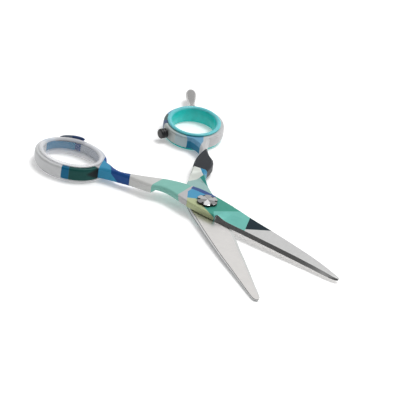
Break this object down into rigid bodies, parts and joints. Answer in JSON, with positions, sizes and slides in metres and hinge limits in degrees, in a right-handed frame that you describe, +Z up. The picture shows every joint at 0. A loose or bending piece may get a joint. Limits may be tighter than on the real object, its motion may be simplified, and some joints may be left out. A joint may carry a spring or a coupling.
{
  "type": "hair cutting shears",
  "caption": "Hair cutting shears with offset handles, lined finger rings, tension dial, finger rest and bumper, blades open.",
  "frame": {"origin": "centre of the bottom of the bounding box, with the shears lying open on a table", "axes": "+X from the rings towards the blade tips along the bisector of the open blades, +Y towards the finger ring, +Z up from the table"},
  "size_m": [0.1632, 0.1022, 0.0078],
  "materials": {
    "finger_half_steel": "satin blade, colour-patch coated shank and ring",
    "thumb_half_paint": "colour-patch coating over brushed steel, bare towards the tip",
    "teal_insert": "smooth, slightly glossy",
    "clear_insert": "translucent, glossy",
    "stud_steel": "turned, polished end",
    "peg_steel": "turned",
    "spring_steel": "bright",
    "click_steel": "bright",
    "dial_chrome": "polished",
    "rest_chrome": "polished",
    "nylon": "smooth",
    "acetal": "smooth",
    "bumper_rubber": "moulded, ribbed",
    "oring_rubber": "smooth"
  },
  "bodies": {
    "finger_half": {"finger_blade": "finger_half_steel", "finger_ring_insert": "teal_insert", "pivot_stud": "stud_steel", "glide_washer": "nylon", "bumper": "bumper_rubber", "bumper_peg": "peg_steel"},
    "thumb_half": {"thumb_blade": "thumb_half_paint", "thumb_ring_insert": "clear_insert", "pivot_bushing": "acetal", "spring_washer": "spring_steel"},
    "click_washer": {"click_washer": "click_steel"},
    "tension_dial": {"tension_dial": "dial_chrome"},
    "finger_rest_seal": {"finger_rest_oring": "oring_rubber"},
    "finger_rest": {"finger_rest": "rest_chrome"}
  },
  "joints": [
    {"name": "blade_pivot", "type": "hinge", "parent": "finger_half", "child": "thumb_half", "pos_m": [0.01501, -0.00536, 0.0037], "axis": [0.0394, 0, 0.9992], "range_deg": [-32.1, 37]},
    {"name": "click_washer_lift", "type": "slide", "parent": "finger_half", "child": "click_washer", "axis": [0.0394, 0, 0.9992], "range_m": [-0.0001, 0.0003], "deforming": ["spring_washer"]},
    {"name": "tension_dial_turn", "type": "hinge", "parent": "click_washer", "child": "tension_dial", "pos_m": [0.01501, -0.00536, 0.0037], "axis": [0.0394, 0, 0.9992], "range_deg": [-72, 216]},
    {"name": "finger_rest_travel", "type": "slide", "parent": "finger_half", "child": "finger_rest_seal", "axis": [-0.8545, 0.5195, 0], "range_m": [0, 0.00225]},
    {"name": "finger_rest_turn", "type": "hinge", "parent": "finger_rest_seal", "child": "finger_rest", "pos_m": [-0.06378, 0.03954, 0.004], "axis": [-0.8545, 0.5195, 0], "range_deg": [0, 1800]}
  ],
  "couplings": [
    {"joint": "tension_dial_turn", "follows": "click_washer_lift", "rad_per_m": 12566},
    {"joint": "finger_rest_turn", "follows": "finger_rest_travel", "rad_per_m": 13963}
  ]
}
